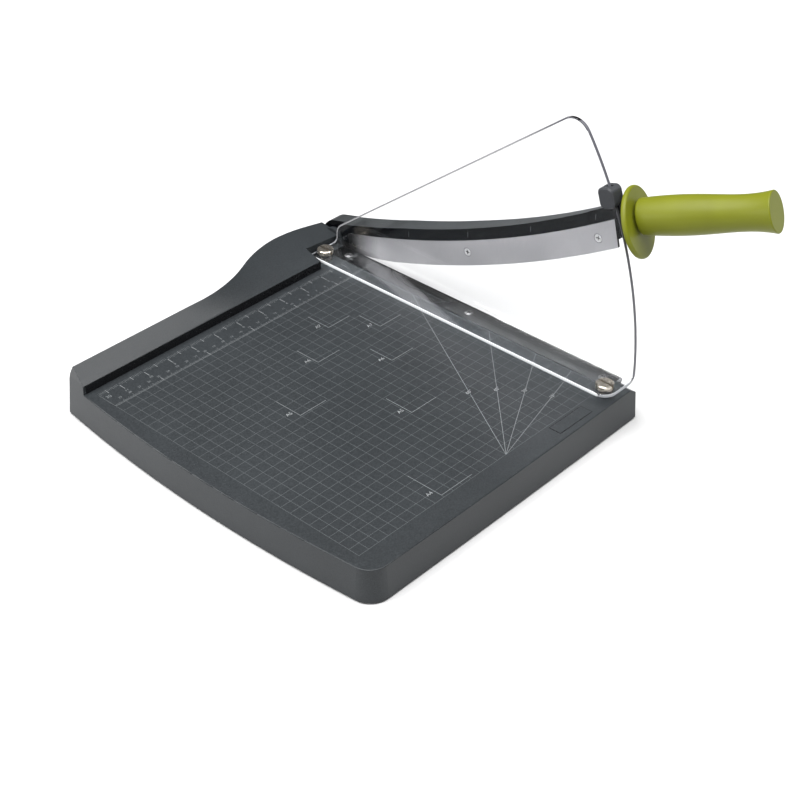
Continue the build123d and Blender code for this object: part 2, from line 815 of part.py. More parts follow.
with BuildPart() as bracket_screws:
    with BuildSketch(side(bracket_left_x)):
        with Locations(*bracket_screw_places):
            Circle(3.5)
    extrude(amount=-2.2)
    fillet(bracket_screws.edges().group_by(Axis.X)[0], 1)
    with BuildSketch(side(bracket_left_x)):
        with Locations(*bracket_screw_places):
            Circle(bracket_screw_radius)
    extrude(amount=bracket_thickness + bracket_screw_depth)

write(bracket_screws, "bracket_screws")

with BuildPart() as pivot_bolt:
    with BuildSketch(pivot_plane(bracket_left_x - 1)):
        Circle(bolt_thread_radius)
    extrude(amount=shoulder_x - bracket_left_x + 1)
    with BuildSketch(pivot_plane(shoulder_x)):
        Circle(bolt_radius)
    extrude(amount=33 - shoulder_x)
    chamfer(pivot_bolt.edges().group_by(Axis.X)[-1], 0.8)

write(pivot_bolt, "pivot_bolt")

with BuildPart() as pivot_bush:
    with BuildSketch(pivot_plane(boss_left_x)):
        Circle(bush_radius)
        Circle(bolt_radius + fit_gap, mode=Mode.SUBTRACT)
    extrude(amount=arm_right_x - boss_left_x)

write(pivot_bush, "pivot_bush")

with BuildPart() as thrust_washer:
    with BuildSketch(pivot_plane(shoulder_x)):
        Circle(pad_radius - 0.5)
        Circle(bolt_radius + fit_gap, mode=Mode.SUBTRACT)
    extrude(amount=boss_left_x - 0.1 - shoulder_x)

write(thrust_washer, "thrust_washer")

cone_rise = 0.5
cone_sheet = 0.7
spring_depth = 2 * (cone_rise + cone_sheet)

with BuildPart() as spring_washers:
    with BuildSketch(across(pivot_y)):
        with BuildLine():
            Polyline(
                (washer_x + cone_rise, pivot_z + bolt_radius + 0.2),
                (washer_x, pivot_z + 9),
                (washer_x + cone_sheet, pivot_z + 9),
                (washer_x + cone_rise + cone_sheet, pivot_z + bolt_radius + 0.2),
                close=True,
            )
        make_face()
        with BuildLine():
            Polyline(
                (washer_x + spring_depth - cone_rise, pivot_z + bolt_radius + 0.2),
                (washer_x + spring_depth, pivot_z + 9),
                (washer_x + spring_depth - cone_sheet, pivot_z + 9),
                (washer_x + cone_rise + cone_sheet, pivot_z + bolt_radius + 0.2),
                close=True,
            )
        make_face()
    revolve(axis=Axis((cut_x, fence_y + pivot_y, platen_z + pivot_z), (1, 0, 0)))

write(spring_washers, "spring_washers")

with BuildPart() as outer_washer:
    with BuildSketch(pivot_plane(washer_x + spring_depth)):
        Circle(10)
        Circle(bolt_radius + fit_gap, mode=Mode.SUBTRACT)
    extrude(amount=flat_washer_thickness)

write(outer_washer, "outer_washer")

with BuildPart() as pivot_nut:
    with BuildSketch(pivot_plane(washer_x + spring_depth + flat_washer_thickness)):
        RegularPolygon(hex_radius, 6)
    extrude(amount=nut_thickness)
    with BuildSketch(pivot_plane(washer_x + spring_depth + flat_washer_thickness + nut_thickness)):
        Circle(6.0)
    extrude(amount=1.8)
    fillet(pivot_nut.edges().group_by(Axis.X)[-1], 1)
    with BuildSketch(pivot_plane(washer_x)):
        Circle(bolt_radius + fit_gap)
    extrude(amount=20, mode=Mode.SUBTRACT)

write(pivot_nut, "pivot_nut")

# --- feet -----------------------------------------------------------------------------------------

with BuildPart() as rubber_feet:
    with BuildSketch(level(-platen_z)):
        with Locations(*foot_centres):
            Circle(foot_radius)
    extrude(amount=foot_height)
    chamfer(rubber_feet.edges().group_by(Axis.Z)[0], 0.6)
    with BuildSketch(level(foot_height - platen_z)):
        with Locations(*foot_centres):
            Circle(foot_plug_radius)
    extrude(amount=foot_plug_height)

write(rubber_feet, "rubber_feet")
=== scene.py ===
import math

import bmesh
import bpy
from mathutils import Matrix, Vector


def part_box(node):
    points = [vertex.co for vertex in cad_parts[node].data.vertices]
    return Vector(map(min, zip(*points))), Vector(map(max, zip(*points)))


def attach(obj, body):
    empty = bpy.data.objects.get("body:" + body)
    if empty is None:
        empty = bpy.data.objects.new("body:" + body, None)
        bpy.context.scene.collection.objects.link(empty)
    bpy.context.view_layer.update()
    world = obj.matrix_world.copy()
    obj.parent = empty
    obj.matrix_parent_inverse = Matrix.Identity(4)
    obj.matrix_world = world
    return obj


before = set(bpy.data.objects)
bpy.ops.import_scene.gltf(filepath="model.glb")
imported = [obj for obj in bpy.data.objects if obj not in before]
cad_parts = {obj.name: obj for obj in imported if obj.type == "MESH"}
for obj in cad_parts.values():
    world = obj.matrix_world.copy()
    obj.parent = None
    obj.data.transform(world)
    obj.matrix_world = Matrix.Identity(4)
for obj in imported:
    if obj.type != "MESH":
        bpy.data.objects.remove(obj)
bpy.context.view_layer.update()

MM = 0.001

# ---- Places, worked out from the frame ---------------------------------------------------------
# The cut line is the fixed blade's outer edge and its top is the platen's level. The fixed blade
# runs a little past the fence. Every place below is given from that corner, in millimetres:
# x along the fence (the platen is at negative x), y away from the user, z up.

STRIP_PAST_FENCE = 11.8 * MM
_, strip_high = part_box("lower_blade")
CORNER = Vector((strip_high.x, strip_high.y - STRIP_PAST_FENCE, strip_high.z))


def at(x, y, z=0.0):
    """Point in the frame, in metres, from millimetres measured from the corner."""
    return CORNER + Vector((x, y, z)) * MM


# The guard: its flange lies below FLANGE_TOP. Its upright plate has a left face at one x, and a rear
# corner and a peak given as y and z. PAST_PEAK is a point that the outline makes for from the peak.
FLANGE_TOP = 8.0
GUARD_PLATE_LEFT_X = -4.2
GUARD_REAR = Vector((16.5, 21.3))
GUARD_REAR_RADIUS = 14
GUARD_PEAK = Vector((-249.0, 220.6))
GUARD_PEAK_RADIUS = 16
PAST_PEAK = Vector((-339.0, 100.6))

# The arm's lip: its left face, and the arc through its middle, with the centre given as y and z.
LIP_FACE_X = 0.8
LIP_ARC_CENTRE = Vector((259.3, 1025.8))
LIP_ARC_RADIUS = 1034.4

# ---- Colours -------------------------------------------------------------------------------------

BODY_GREY = (0.0215, 0.0245, 0.0270)
FITTING_GREY = (0.035, 0.037, 0.041)
GLOSS_BLACK = (0.003, 0.0035, 0.0045)
ARM_SIDE_BLACK = (0.0015, 0.0018, 0.0025)
# The arm's top: the same black enamel, painted paler as painted sheen.
ARM_TOP_PAINTED_SHEEN = (0.028, 0.031, 0.033)
LIME = (0.134, 0.147, 0.006)
RUBBER_BLACK = (0.012, 0.012, 0.013)
KNIFE_STEEL = (0.53, 0.525, 0.545)
STRIP_STEEL = (0.23, 0.235, 0.245)
DULL_SCREW = (0.20, 0.20, 0.205)
BRIGHT_SCREW = (0.74, 0.74, 0.75)
NICKEL = (0.62, 0.57, 0.50)
BRASS = (0.58, 0.44, 0.2)
ZINC = (0.5, 0.51, 0.52)
SHEET_CLEAR = (0.985, 0.99, 0.995)
# Painted light in the guard's sawn edges: shade on the upright plate, a dim and a bright glow on the
# flange.
SHEET_EDGE_PAINTED_SHADE = (0.09, 0.09, 0.105)
SHEET_EDGE_PAINTED_DIM_GLOW = (0.33, 0.34, 0.36)
SHEET_EDGE_PAINTED_GLOW = (0.80, 0.82, 0.83)
EDGE_LINE_DARK = (0.05, 0.05, 0.065)
EDGE_LINE_PALE = (0.34, 0.34, 0.35)
INK = (0.13, 0.14, 0.145)
INK_BRIGHT = (0.22, 0.23, 0.235)
INK_FAINT = (0.075, 0.083, 0.088)
FLOOR_WHITE = (0.57, 0.57, 0.572)


def tinted(colour, factor):
    return tuple(channel * factor for channel in colour)


# ---- Node helpers --------------------------------------------------------------------------------


class Shader:
    """A material with its nodes, and short ways to add and join more of them."""

    def __init__(self, name, colour, roughness, metallic=0.0):
        self.material = bpy.data.materials.new(name)
        self.material.use_nodes = True
        self.tree = self.material.node_tree
        self.surface = self.tree.nodes["Principled BSDF"]
        self.set(self.surface, "Base Color", (*colour, 1.0))
        self.set(self.surface, "Roughness", roughness)
        self.set(self.surface, "Metallic", metallic)
        coordinates = self.tree.nodes.new("ShaderNodeTexCoord")
        self.place = coordinates.outputs["Object"]
        self.facing = coordinates.outputs["Normal"]

    def set(self, node, socket, value):
        node.inputs[socket].default_value = value

    def join(self, start, end):
        self.tree.links.new(start, end)

    def drive(self, socket, value):
        """Let a value drive one of the surface's own sockets."""
        self.join(value, self.surface.inputs[socket])

    def stretched(self, scale, turn):
        """Object coordinates, turned by degrees and scaled differently along each axis."""
        mapping = self.tree.nodes.new("ShaderNodeMapping")
        self.set(mapping, "Scale", scale)
        self.set(mapping, "Rotation", [math.radians(angle) for angle in turn])
        self.join(self.place, mapping.inputs["Vector"])
        return mapping.outputs["Vector"]

    def noise(self, size, detail=2.0, place=None):
        """Noise with features about size metres across, 0 to 1."""
        noise = self.tree.nodes.new("ShaderNodeTexNoise")
        self.set(noise, "Scale", 1.0 / size)
        self.set(noise, "Detail", detail)
        self.join(place or self.place, noise.inputs["Vector"])
        return noise.outputs["Fac"]

    def cells(self, size):
        """Distance to the nearest point of a scattered set, size metres apart."""
        voronoi = self.tree.nodes.new("ShaderNodeTexVoronoi")
        self.set(voronoi, "Scale", 1.0 / size)
        self.join(self.place, voronoi.inputs["Vector"])
        return voronoi.outputs["Distance"]

    def maths(self, operation, first, second):
        node = self.tree.nodes.new("ShaderNodeMath")
        node.operation = operation
        for socket, value in zip(node.inputs, (first, second)):
            if isinstance(value, (int, float)):
                socket.default_value = value
            else:
                self.join(value, socket)
        return node.outputs["Value"]

    def size_of(self, value):
        """The value without its sign."""
        return self.maths("ABSOLUTE", value, 0)

    def weighted(self, first, second, share):
        """Share of the first value, with the rest made up from the second."""
        first_part = self.maths("MULTIPLY", first, share)
        second_part = self.maths("MULTIPLY", second, 1 - share)
        return self.maths("ADD", first_part, second_part)

    def spread(self, value, low, high, from_low=0.3, from_high=0.7):
        """The value moved from one range to another, clamped at both ends."""
        node = self.tree.nodes.new("ShaderNodeMapRange")
        for socket, number in (
            ("From Min", from_low),
            ("From Max", from_high),
            ("To Min", low),
            ("To Max", high),
        ):
            self.set(node, socket, number)
        self.join(value, node.inputs["Value"])
        return node.outputs["Result"]

    def blend(self, share, first, second):
        """Colour between two colours, each a tuple or another node's output."""
        mix = self.tree.nodes.new("ShaderNodeMix")
        mix.data_type = "RGBA"
        self.join(share, mix.inputs[0])
        for socket, colour in ((mix.inputs[6], first), (mix.inputs[7], second)):
            if isinstance(colour, tuple):
                socket.default_value = (*colour, 1.0)
            else:
                self.join(colour, socket)
        return mix.outputs[2]

    def mottled(self, share, colour, darkest, palest):
        """The colour, varied between a darker and a paler tint of itself."""
        return self.blend(share, tinted(colour, darkest), tinted(colour, palest))

    def height(self, value, distance):
        """Bump from a value, distance metres deep."""
        bump = self.tree.nodes.new("ShaderNodeBump")
        self.set(bump, "Distance", distance)
        self.join(value, bump.inputs["Height"])
        self.join(bump.outputs["Normal"], self.surface.inputs["Normal"])

    def separate(self, vector):
        node = self.tree.nodes.new("ShaderNodeSeparateXYZ")
        self.join(vector, node.inputs["Vector"])
        return node.outputs

    def along_y(self, start_y, end_y, start=0.0, end=1.0):
        """Value that runs from start to end between two places along the cut line."""
        place_y = self.separate(self.place)["Y"]
        return self.spread(place_y, start, end, at(0, start_y).y, at(0, end_y).y)

    def darker_end(self, tone, colour, unshaded_y, dark_y, darkest):
        """Painted shade: the tone up to the first place, falling to a share of the colour at dark_y."""
        return self.blend(self.along_y(unshaded_y, dark_y, 1.0, 0.0), tinted(colour, darkest), tone)

    def mix_shaders(self, share, first, second):
        mix = self.tree.nodes.new("ShaderNodeMixShader")
        self.join(share, mix.inputs[0])
        self.join(first.outputs[0], mix.inputs[1])
        self.join(second.outputs[0], mix.inputs[2])
        return mix


# ---- Kinds of material ---------------------------------------------------------------------------


def moulded_plastic(name, colour, roughness, grain, depth, variation=0.12):
    """Plastic with the fine grain of a textured mould and slight cloudiness."""
    shader = Shader(name, colour, roughness)
    shader.set(shader.surface, "Specular IOR Level", 0.3)
    grains = shader.noise(grain, 3.0)
    clouds = shader.noise(60 * MM)
    share = shader.spread(shader.weighted(grains, clouds, 0.75), 0.0, 1.0, 0.35, 0.65)
    shader.drive("Base Color", shader.mottled(share, colour, 1 - variation, 1 + variation))
    shader.drive("Roughness", shader.spread(grains, roughness - 0.06, roughness + 0.08))
    pits = shader.cells(grain * 1.3)
    shader.height(shader.maths("ADD", grains, shader.maths("MULTIPLY", pits, 0.6)), depth)
    return shader.material


def ground_steel(name, colour, roughness, marks_scale, marks_turn, painted_shade_end, dark_recesses=False):
    """Steel with fine parallel grinding marks and faint smears, with painted shade darkening it towards one
    end.

    With dark_recesses, whatever doesn't face along x, such as a countersink, is nearly black: painted shade
    in the recesses.
    """
    shader = Shader(name, colour, roughness, metallic=1.0)
    marks = shader.noise(0.35 * MM, 2.0, shader.stretched(marks_scale, marks_turn))
    smears = shader.noise(45 * MM, 1.0)
    share = shader.spread(shader.weighted(marks, smears, 0.5), 0.0, 1.0, 0.38, 0.62)
    tone = shader.mottled(share, colour, 0.9, 1.06)
    # Painted shade towards one end.
    tone = shader.darker_end(tone, colour, *painted_shade_end)
    # Painted shade in recesses such as countersinks.
    if dark_recesses:
        flat = shader.size_of(shader.separate(shader.facing)["X"])
        tone = shader.blend(shader.spread(flat, 0.0, 1.0, 0.85, 0.95), tinted(colour, 0.08), tone)
    shader.drive("Base Color", tone)
    shader.drive("Roughness", shader.spread(smears, roughness - 0.02, roughness + 0.05))
    shader.height(marks, 0.004 * MM)
    return shader.material


def plated_metal(name, colour, roughness, grain=0.25 * MM, recess_x=None, painted_shade_end=None):
    """Plated or turned metal: bright, with faint handling marks.

    Past recess_x it is nearly black, as painted shade in the slots of a screw's head. A dark end is painted
    shade along the cut line.
    """
    shader = Shader(name, colour, roughness, metallic=1.0)
    marks = shader.noise(grain, 3.0)
    patches = shader.noise(4 * MM, 3.0)
    tone = shader.mottled(shader.spread(patches, 0, 1), colour, 0.8, 1.1)
    # Painted shade in the slots.
    if recess_x is not None:
        in_recess = shader.maths("GREATER_THAN", shader.separate(shader.place)["X"], at(recess_x, 0).x)
        tone = shader.blend(in_recess, tone, tinted(colour, 0.02))
    # Painted shade towards one end.
    if painted_shade_end is not None:
        tone = shader.darker_end(tone, colour, *painted_shade_end)
    shader.drive("Base Color", tone)
    shader.drive("Roughness", shader.spread(marks, roughness - 0.05, roughness + 0.1))
    shader.height(marks, 0.003 * MM)
    return shader.material


def clear_sheet(name):
    """Rigid clear sheet: polished faces with faint hairline scuffs, and frosted sawn edges whose colour is
    painted light: the light they carry painted as a glow on the flange's edges, and painted shade on the
    upright plate's.
    """
    shader = Shader(name, SHEET_CLEAR, 0.02)
    shader.set(shader.surface, "Transmission Weight", 1.0)
    shader.set(shader.surface, "IOR", 1.49)
    scuffs = shader.noise(0.5 * MM, 2.0, shader.stretched((1, 0.03, 0.4), (0, 0, 12)))
    shader.drive("Roughness", shader.spread(scuffs, 0.0, 0.07, 0.6, 0.75))

    place = shader.separate(shader.place)
    left_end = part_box("blade_guard")[0].x + 0.4 * MM
    sawn = shader.spread(shader.size_of(shader.separate(shader.facing)["Y"]), 0.0, 1.0, 0.25, 0.35)
    edge = shader.maths("MAXIMUM", sawn, shader.maths("LESS_THAN", place["X"], left_end))
    on_flange = shader.maths("LESS_THAN", place["Z"], at(0, 0, FLANGE_TOP).z)

    # Painted light in the sawn edges: a bright painted glow on the flange's left edge, a dimmer one on its
    # ends, and painted shade on the upright plate's edges.
    frosted = shader.tree.nodes.new("ShaderNodeBsdfPrincipled")
    flange_painted_glow = shader.blend(sawn, SHEET_EDGE_PAINTED_GLOW, SHEET_EDGE_PAINTED_DIM_GLOW)
    shader.join(shader.blend(on_flange, SHEET_EDGE_PAINTED_SHADE, flange_painted_glow), frosted.inputs["Base Color"])
    saw_marks = shader.noise(0.7 * MM)
    shader.join(shader.spread(saw_marks, 0.25, 0.5), frosted.inputs["Roughness"])

    clear_to_lamps = shader.tree.nodes.new("ShaderNodeBsdfTransparent")
    path = shader.tree.nodes.new("ShaderNodeLightPath")
    pane = shader.mix_shaders(path.outputs["Is Shadow Ray"], shader.surface, clear_to_lamps)
    both = shader.mix_shaders(edge, pane, frosted)
    shader.join(both.outputs["Shader"], shader.tree.nodes["Material Output"].inputs["Surface"])
    return shader.material


def bent_light(name, dark, pale, dark_y, pale_y):
    """Line of bent light in a polished edge: dark round the peak, paler along the slope."""
    shader = Shader(name, pale, 0.4)
    share = shader.along_y(dark_y, pale_y)
    streaks = shader.spread(shader.noise(6 * MM), 0.92, 1.08)
    shader.drive("Base Color", shader.blend(shader.maths("MULTIPLY", share, streaks), dark, pale))
    shader.drive("Roughness", shader.spread(shader.noise(0.7 * MM), 0.34, 0.46))
    return shader.material


def printing_ink(name, colour):
    """Screen-printed ink: thin, slightly uneven and a little worn."""
    shader = Shader(name, colour, 0.55)
    wear = shader.noise(1.2 * MM, 3.0)
    shader.drive("Base Color", shader.mottled(shader.spread(wear, 0, 1), colour, 0.72, 1.12))
    shader.drive("Roughness", shader.spread(wear, 0.48, 0.66))
    return shader.material


def satin_plastic(name, colour):
    """Satin grip: smooth moulding with a hint of grain and hand polish."""
    shader = Shader(name, colour, 0.42)
    shader.set(shader.surface, "Specular IOR Level", 0.26)
    clouds = shader.noise(35 * MM)
    grain = shader.noise(0.45 * MM)
    shader.drive("Base Color", shader.mottled(shader.spread(clouds, 0, 1), colour, 0.93, 1.06))
    shader.drive("Roughness", shader.spread(grain, 0.38, 0.48))
    shader.height(grain, 0.006 * MM)
    return shader.material


def arm_enamel(name, side_colour, sheen_top_colour):
    """Black enamel on the arm: satin on the top, glossy on the sides, and the top painted paler as painted
    sheen.
    """
    shader = Shader(name, side_colour, 0.3)
    shader.set(shader.surface, "Specular IOR Level", 0.2)
    # Painted sheen: faces turned up get the paler top colour.
    up = shader.spread(shader.separate(shader.facing)["Z"], 0.0, 1.0, 0.45, 0.75)
    peel = shader.noise(0.9 * MM)
    dust = shader.spread(shader.noise(14 * MM, 4.0), 0.75, 1.15)
    shade = shader.tree.nodes.new("ShaderNodeVectorMath")
    shade.operation = "SCALE"
    shader.join(shader.blend(up, side_colour, sheen_top_colour), shade.inputs[0])
    shader.join(dust, shade.inputs["Scale"])
    shader.drive("Base Color", shade.outputs["Vector"])
    satin = shader.spread(up, 0.2, 0.42, 0, 1)
    shader.drive("Roughness", shader.maths("ADD", satin, shader.spread(peel, 0.0, 0.08)))
    shader.height(peel, 0.008 * MM)
    return shader.material


def soft_rubber(name, colour):
    """Dull rubber with settled dust."""
    shader = Shader(name, colour, 0.75)
    dust = shader.noise(0.8 * MM, 4.0)
    shader.drive("Base Color", shader.mottled(shader.spread(dust, 0, 1), colour, 1.0, 1.9))
    shader.height(dust, 0.02 * MM)
    return shader.material


# ---- Materials of the CAD nodes ------------------------------------------------------------------
# A dark end is painted shade, and on the fixed strip a painted reflection of the dark arm. It is given by
# where the metal is still unshaded, where it is darkest, and how dark that is.

body_plastic = moulded_plastic("body_plastic", BODY_GREY, 0.34, 1.0 * MM, 0.02 * MM, variation=0.22)
dark_plastic = moulded_plastic("dark_plastic", FITTING_GREY, 0.42, 0.4 * MM, 0.012 * MM)
arm_paint = arm_enamel("arm_paint", ARM_SIDE_BLACK, ARM_TOP_PAINTED_SHEEN)
gloss_black = moulded_plastic("gloss_black", GLOSS_BLACK, 0.3, 1.2 * MM, 0.004 * MM)
grip_plastic = satin_plastic("grip_plastic", LIME)
guard_sheet = clear_sheet("clear_guard")
# Painted shade: the blade darkens from 34 mm in front of the fence to nearly black at it and beyond, and
# its countersinks go nearly black.
blade_steel = ground_steel(
    "blade_steel",
    KNIFE_STEEL,
    0.5,
    marks_scale=(1, 1.0, 0.04),
    marks_turn=(-14, 0, 0),
    painted_shade_end=(-34, 0, 0.04),
    dark_recesses=True,
)
# Painted reflection of the dark arm: the strip darkens from y = -165 to 0.3 of its colour at y = -30.
strip_steel = ground_steel(
    "strip_steel",
    STRIP_STEEL,
    0.28,
    marks_scale=(0.04, 1, 1),
    marks_turn=(0, 0, 0),
    painted_shade_end=(-165, -30, 0.3),
)
screw_steel = plated_metal("screw_steel", DULL_SCREW, 0.48)
# Painted shade: the screw slots go nearly black, and screws nearer the fence darken to 0.08 of their colour
# at y = -20.
blade_screw_steel = plated_metal(
    "blade_screw_steel", BRIGHT_SCREW, 0.5, recess_x=0.75, painted_shade_end=(-50, -20, 0.08)
)
nickel = plated_metal("nickel", NICKEL, 0.24)
brass = plated_metal("brass", BRASS, 0.3)
zinc_steel = plated_metal("zinc_steel", ZINC, 0.35, grain=0.6 * MM)
foot_rubber = soft_rubber("foot_rubber", RUBBER_BLACK)
# Painted light: a line of bent light drawn in the guard's upper edge.
painted_edge_light = bent_light("painted_edge_light", EDGE_LINE_DARK, EDGE_LINE_PALE, dark_y=-236, pale_y=-190)
ink = printing_ink("print_ink", INK)
ink_bright = printing_ink("print_ink_bright", INK_BRIGHT)
ink_faint = printing_ink("print_ink_faint", INK_FAINT)

MATERIAL_OF_NODE = {
    "base_shell": body_plastic,
    "lower_blade": strip_steel,
    "lower_blade_screws": screw_steel,
    "lower_blade_nuts": zinc_steel,
    "blade_guard": guard_sheet,
    "guard_spacers": dark_plastic,
    "guard_inserts": brass,
    "guard_thumbscrew_front": nickel,
    "guard_thumbscrew_rear": nickel,
    "arm": arm_paint,
    "upper_blade": blade_steel,
    "upper_blade_screws": blade_screw_steel,
    "guard_guide": dark_plastic,
    "guide_screw": screw_steel,
    "hand_guard": grip_plastic,
    "handle_grip": grip_plastic,
    "handle_tang": zinc_steel,
    "pivot_bracket": zinc_steel,
    "bracket_screws": zinc_steel,
    "pivot_bolt": zinc_steel,
    "pivot_bush": zinc_steel,
    "thrust_washer": gloss_black,
    "spring_washers": zinc_steel,
    "outer_washer": zinc_steel,
    "pivot_nut": zinc_steel,
    "rubber_feet": foot_rubber,
}

for node, material in MATERIAL_OF_NODE.items():
    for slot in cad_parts[node].material_slots:
        slot.material = material


# ---- Mesh helpers --------------------------------------------------------------------------------

FONT_SIZE_OF_LETTER_HEIGHT = 1.38


def finished_mesh(name, work):
    """Turn a bmesh into a mesh and let go of the bmesh."""
    mesh = bpy.data.meshes.new(name)
    work.to_mesh(mesh)
    work.free()
    return mesh


def piece(name, mesh, material, body):
    """Put a mesh in the scene as a piece that rides on a body."""
    mesh.materials.append(material)
    obj = bpy.data.objects.new(name, mesh)
    bpy.context.collection.objects.link(obj)
    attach(obj, body)


def flat_line(work, start, end, width, height):
    """Thin flat strip from start to end, on the platen, in corner millimetres."""
    start = Vector(start)
    end = Vector(end)
    along = (end - start).normalized()
    sideways = Vector((-along.y, along.x)) * width / 2
    corners = (start + sideways, start - sideways, end - sideways, end + sideways)
    work.faces.new([work.verts.new(at(corner.x, corner.y, height)) for corner in corners])


def lines_piece(name, lines, width, height, material):
    """One piece made of many flat printed lines."""
    work = bmesh.new()
    for start, end in lines:
        flat_line(work, start, end, width, height)
    bmesh.ops.recalc_face_normals(work, faces=work.faces)
    for face in work.faces:
        if face.normal.z < 0:
            face.normal_flip()
    piece(name, finished_mesh(name, work), material, "base")


def lettering(name, words, height, material):
    """One flat mesh of several short words: (text, x, y, letter height)."""
    work = bmesh.new()
    for text, x, y, letter_height in words:
        curve = bpy.data.curves.new(name, "FONT")
        curve.body = text
        curve.size = letter_height * MM * FONT_SIZE_OF_LETTER_HEIGHT
        curve.align_x = "CENTER"
        curve.align_y = "CENTER"
        letters = bpy.data.objects.new(name, curve)
        bpy.context.collection.objects.link(letters)
        bpy.context.view_layer.update()
        flat = bpy.data.meshes.new_from_object(letters.evaluated_get(bpy.context.evaluated_depsgraph_get()))
        flat.transform(Matrix.Translation(at(x, y, height)))
        work.from_mesh(flat)
        bpy.data.objects.remove(letters)
        bpy.data.meshes.remove(flat)
        bpy.data.curves.remove(curve)
    piece(name, finished_mesh(name, work), material, "base")


# ---- Printing on the platen ----------------------------------------------------------------------
# Each layer of ink lies a hair above the one before it, so that crossing lines don't share a plane.

PRINT_RISE = 0.03
MARKS_RISE = 0.04
ANGLES_RISE = 0.05

GRID_STEP = 10
GRID_LEFT = -300
GRID_FRONT = -300
GRID_BACK = -40
GRID_RIGHT = -19
GRID_LINE_WIDTH = 0.28

INCH = 25.4
INCH_LINE = -7
LAST_SIXTEENTH = 189
LAST_INCH = 11
CM_LINE = -31
LAST_MILLIMETRE = 300
TICK_WIDTH = 0.24
LONG_TICK_WIDTH = 0.42

INCH_NUMBER_HEIGHT = 2.7
INCH_NUMBER_LEFT = 0.5
INCH_NUMBER_BELOW = 12.8
CM_NUMBER_HEIGHT = 2.3
CM_NUMBER_ABOVE = 7.2
END_NUMBER_HEIGHT = 3.6
END_NUMBER_PLACE = (-295.6, -16.3)

ANGLES = (15, 30, 45, 60)
ANGLE_APEX = Vector((-140, -300))
ANGLE_RIGHT_END = -20
ANGLE_LINE_WIDTH = 0.45
ANGLE_NAME_HEIGHT = 3.4
ANGLE_NAME_REACH = 87

SIZE_LINE_WIDTH = 0.5
SIZE_NAME_HEIGHT = 3.6
SIZE_NAME_LEFT = 5
SIZE_NAME_ABOVE = 7.6

# Name, distance from the cut line, distance from the fence, and length of the corner mark.
PAPER_SIZES = (
    ("A7", 105, 74, 25),
    ("A7", 74, 105, 25),
    ("A6", 148, 105, 25),
    ("A6", 105, 148, 25),
    ("A5", 210, 148, 28),
    ("A5", 148, 210, 28),
    ("A4", 210, 297, 34),
)


def print_grid():
    """Centimetre squares over the platen."""
    columns = range(0, GRID_LEFT - 1, -GRID_STEP)
    rows = range(GRID_BACK, GRID_FRONT - 1, -GRID_STEP)
    lines = [((x, CM_LINE), (x, GRID_FRONT)) for x in columns]
    lines += [((GRID_LEFT, y), (GRID_RIGHT, y)) for y in rows]
    lines_piece("printed_grid", lines, GRID_LINE_WIDTH, PRINT_RISE, ink_faint)


def tick(x, line_y, length):
    return (x, line_y), (x, line_y + length)


def print_rulers():
    """Inch ruler next to the fence, with a millimetre ruler below it."""
    short = []
    long = []
    for sixteenth in range(1, LAST_SIXTEENTH + 1):
        x = -sixteenth * INCH / 16
        if sixteenth % 16 == 0:
            long.append(tick(x, INCH_LINE - 3, -7))
        elif sixteenth % 8 == 0:
            long.append(tick(x, INCH_LINE, -5))
        elif sixteenth % 4 == 0:
            short.append(tick(x, INCH_LINE, -4))
        else:
            short.append(tick(x, INCH_LINE, -3))
    for millimetre in range(0, LAST_MILLIMETRE + 1):
        x = -millimetre
        if millimetre % 50 == 0:
            long.append(tick(x, CM_LINE, 5))
        elif millimetre % 10 == 0:
            short.append(tick(x, CM_LINE, 4))
        elif millimetre % 5 == 0:
            short.append(tick(x, CM_LINE, 3))
        else:
            short.append(tick(x, CM_LINE, 2))
    short.append(((GRID_LEFT, CM_LINE), (GRID_RIGHT, CM_LINE)))
    short.append(((GRID_LEFT, INCH_LINE), (GRID_LEFT, CM_LINE)))
    lines_piece("ruler_ticks", short, TICK_WIDTH, PRINT_RISE, ink)
    lines_piece("ruler_long_ticks", long, LONG_TICK_WIDTH, PRINT_RISE, ink_bright)
    inches = [
        (str(number), -number * INCH - INCH_NUMBER_LEFT, INCH_LINE - INCH_NUMBER_BELOW, INCH_NUMBER_HEIGHT)
        for number in range(1, LAST_INCH + 1)
    ]
    centimetres = [
        (str(number), -10 * number, CM_LINE + CM_NUMBER_ABOVE, CM_NUMBER_HEIGHT)
        for number in range(2, LAST_MILLIMETRE // 10)
    ]
    end = [("30", *END_NUMBER_PLACE, END_NUMBER_HEIGHT)]
    lettering("ruler_numbers", inches + centimetres + end, PRINT_RISE, ink)


def print_paper_sizes():
    """Corner marks of the A sizes, upright and lying down, each with its name."""
    lines = []
    words = []
    for name, across, down, reach in PAPER_SIZES:
        lines.append(((-across, -down), (-across + reach, -down)))
        lines.append(((-across, -down), (-across, -down + reach)))
        words.append((name, -across - SIZE_NAME_LEFT, -down + SIZE_NAME_ABOVE, SIZE_NAME_HEIGHT))
    lines_piece("paper_size_corners", lines, SIZE_LINE_WIDTH, MARKS_RISE, ink)
    lettering("paper_size_names", words, MARKS_RISE, ink_bright)


def print_angles():
    """Lines that fan out from one point on the front grid line."""
    lines = []
    words = []
    for angle in ANGLES:
        direction = Vector((math.cos(math.radians(angle)), math.sin(math.radians(angle))))
        end = ANGLE_APEX + direction * (ANGLE_RIGHT_END - ANGLE_APEX.x) / direction.x
        lines.append((ANGLE_APEX, end))
        name_place = ANGLE_APEX + direction * ANGLE_NAME_REACH
        words.append((f"{angle}°", name_place.x, name_place.y, ANGLE_NAME_HEIGHT))
    lines_piece("angle_lines", lines, ANGLE_LINE_WIDTH, ANGLES_RISE, ink)
    lettering("angle_names", words, ANGLES_RISE, ink_bright)


# ---- Marks on the arm ----------------------------------------------------------------------------

